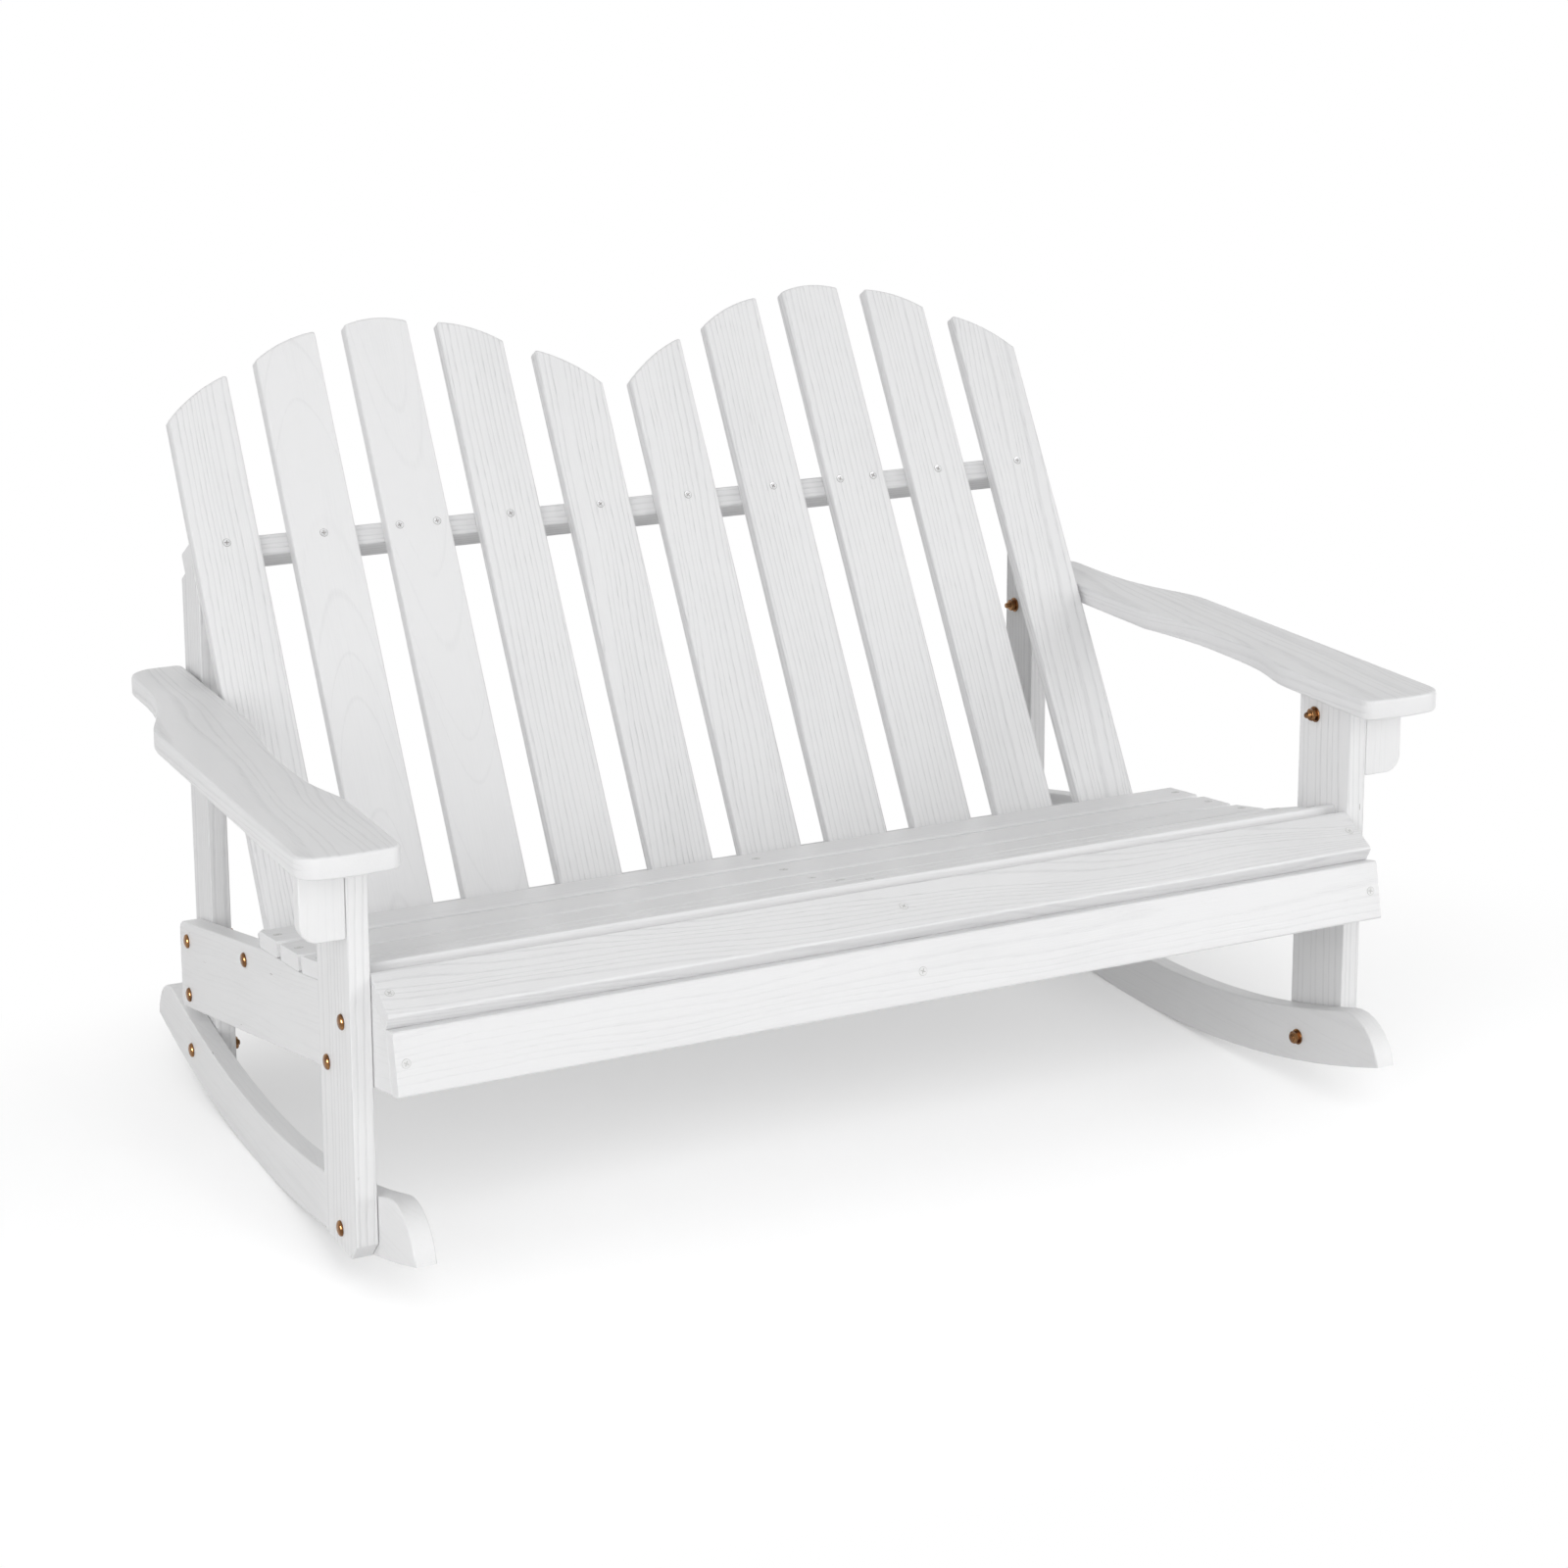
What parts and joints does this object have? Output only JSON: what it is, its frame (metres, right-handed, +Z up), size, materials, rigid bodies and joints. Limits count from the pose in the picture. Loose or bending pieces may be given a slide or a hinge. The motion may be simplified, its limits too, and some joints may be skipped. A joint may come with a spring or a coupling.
{
  "type": "rocking bench",
  "caption": "Low slatted rocking bench with a reclined back crowned by paired arches, a sloping slatted seat, shaped flat arms and curved rockers, in white painted wood.",
  "frame": {"origin": "on the ground, under the middle of the bench's overall box", "axes": "+X along the bench to the right as seen from in front, +Y from the front to the back, +Z up"},
  "size_m": [1.16, 0.7826, 0.7593],
  "materials": {
    "white_paint": "semi-gloss off-white paint on softwood, with fine straight grain showing through",
    "side_paint": "the same off-white paint on the boards of the side frames, a little flatter",
    "yellow_zinc": "steel with golden yellow zinc plating"
  },
  "bodies": {
    "root": {"rocker_left": "side_paint", "rocker_right": "side_paint", "front_leg_left": "side_paint", "front_leg_right": "side_paint", "rear_post_left": "side_paint", "rear_post_right": "side_paint", "seat_side_left": "side_paint", "seat_side_right": "side_paint", "seat_middle_bearer": "side_paint", "seat_board_1": "white_paint", "seat_board_2": "white_paint", "seat_board_3": "white_paint", "seat_board_4": "white_paint", "seat_board_5": "white_paint", "nose_board": "white_paint", "apron_board": "white_paint", "back_slat_01": "white_paint", "back_slat_02": "white_paint", "back_slat_03": "white_paint", "back_slat_04": "white_paint", "back_slat_05": "white_paint", "back_slat_06": "white_paint", "back_slat_07": "white_paint", "back_slat_08": "white_paint", "back_slat_09": "white_paint", "back_slat_10": "white_paint", "upper_back_rail": "white_paint", "lower_back_rail": "white_paint", "arm_left": "white_paint", "arm_right": "white_paint", "arm_bracket_left": "side_paint", "arm_bracket_right": "side_paint", "front_arm_cleat_left": "side_paint", "front_arm_cleat_right": "side_paint", "rear_arm_cleat_left": "side_paint", "rear_arm_cleat_right": "side_paint", "bolt_leg_front_left": "yellow_zinc", "bolt_leg_front_right": "yellow_zinc", "bolt_leg_rear_left": "yellow_zinc", "bolt_leg_rear_right": "yellow_zinc", "bolt_leg_foot_left": "yellow_zinc", "bolt_leg_foot_right": "yellow_zinc", "bolt_arm_front_left": "yellow_zinc", "bolt_arm_front_right": "yellow_zinc", "bolt_arm_rear_left": "yellow_zinc", "bolt_arm_rear_right": "yellow_zinc", "bolt_post_upper_left": "yellow_zinc", "bolt_post_upper_right": "yellow_zinc", "bolt_post_lower_left": "yellow_zinc", "bolt_post_lower_right": "yellow_zinc", "bolt_post_foot_left": "yellow_zinc", "bolt_post_foot_right": "yellow_zinc", "bolt_back_rail_left": "yellow_zinc", "bolt_back_rail_right": "yellow_zinc"}
  },
  "joints": []
}
